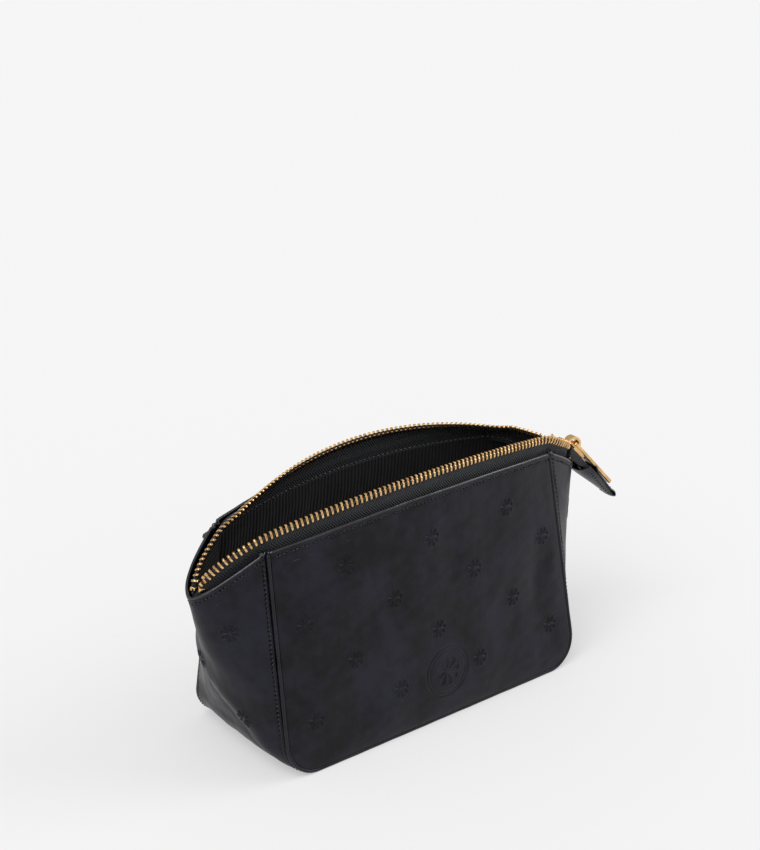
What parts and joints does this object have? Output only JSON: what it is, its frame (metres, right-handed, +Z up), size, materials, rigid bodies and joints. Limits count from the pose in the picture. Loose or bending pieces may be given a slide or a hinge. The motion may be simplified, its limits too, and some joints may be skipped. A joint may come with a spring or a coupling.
{
  "type": "makeup bag",
  "caption": "Small black leather zip pouch with a boxed base, flared side gussets, an arched brass zip and a leather end tab, standing open.",
  "frame": {"origin": "centre of the base panel's underside, on the surface the bag stands on", "axes": "+Z up, +X to the right along the bag's length towards the zip's leather end tab, -Y out of the front panel"},
  "size_m": [0.252, 0.076, 0.1201],
  "materials": {
    "leather": "smooth semi-gloss",
    "lining": "matt fine-ribbed weave",
    "webbing": "matt herringbone zip tape",
    "brass": "polished",
    "board": "plain stiffener board"
  },
  "bodies": {
    "shell": {"base_panel": "leather", "base_board": "board", "base_lining": "lining", "left_gusset": "leather", "right_gusset": "leather", "left_gusset_lining": "lining", "right_gusset_lining": "lining", "zip_end_tab": "leather", "bottom_stop": "brass"},
    "front_wall": {"front_panel": "leather", "front_lining": "lining", "front_piping": "leather", "front_zip_tape": "webbing", "front_zip_teeth": "brass", "front_top_stop": "brass"},
    "rear_wall": {"rear_panel": "leather", "rear_lining": "lining", "rear_piping": "leather", "rear_zip_tape": "webbing", "rear_zip_teeth": "brass", "rear_top_stop": "brass"},
    "slider": {"zip_slider": "brass"},
    "pull": {"zip_pull": "brass"}
  },
  "joints": [
    {"name": "front_wall_close", "type": "hinge", "parent": "shell", "child": "front_wall", "pos_m": [0, -0.0368, 0.003], "axis": [-1, 0, 0], "range_deg": [0, 8.5], "deforming": ["front_piping", "front_zip_tape", "front_zip_teeth", "front_top_stop", "left_gusset_lining", "right_gusset_lining"]},
    {"name": "rear_wall_close", "type": "hinge", "parent": "shell", "child": "rear_wall", "pos_m": [0, 0.0368, 0.003], "axis": [1, 0, 0], "range_deg": [0, 7], "deforming": ["rear_piping", "rear_zip_tape", "rear_zip_teeth", "rear_top_stop"]},
    {"name": "slider_travel", "type": "hinge", "parent": "shell", "child": "slider", "pos_m": [0, 0, -0.0507], "axis": [0, -1, 0], "range_deg": [0, 73]},
    {"name": "pull_lift", "type": "hinge", "parent": "slider", "child": "pull", "pos_m": [0.11407, 0, 0.09386], "axis": [0, -1, 0], "range_deg": [0, 150]}
  ],
  "couplings": [
    {"joint": "rear_wall_close", "follows": "front_wall_close", "ratio": 0.8235},
    {"joint": "slider_travel", "follows": "front_wall_close", "ratio": 8.588}
  ]
}
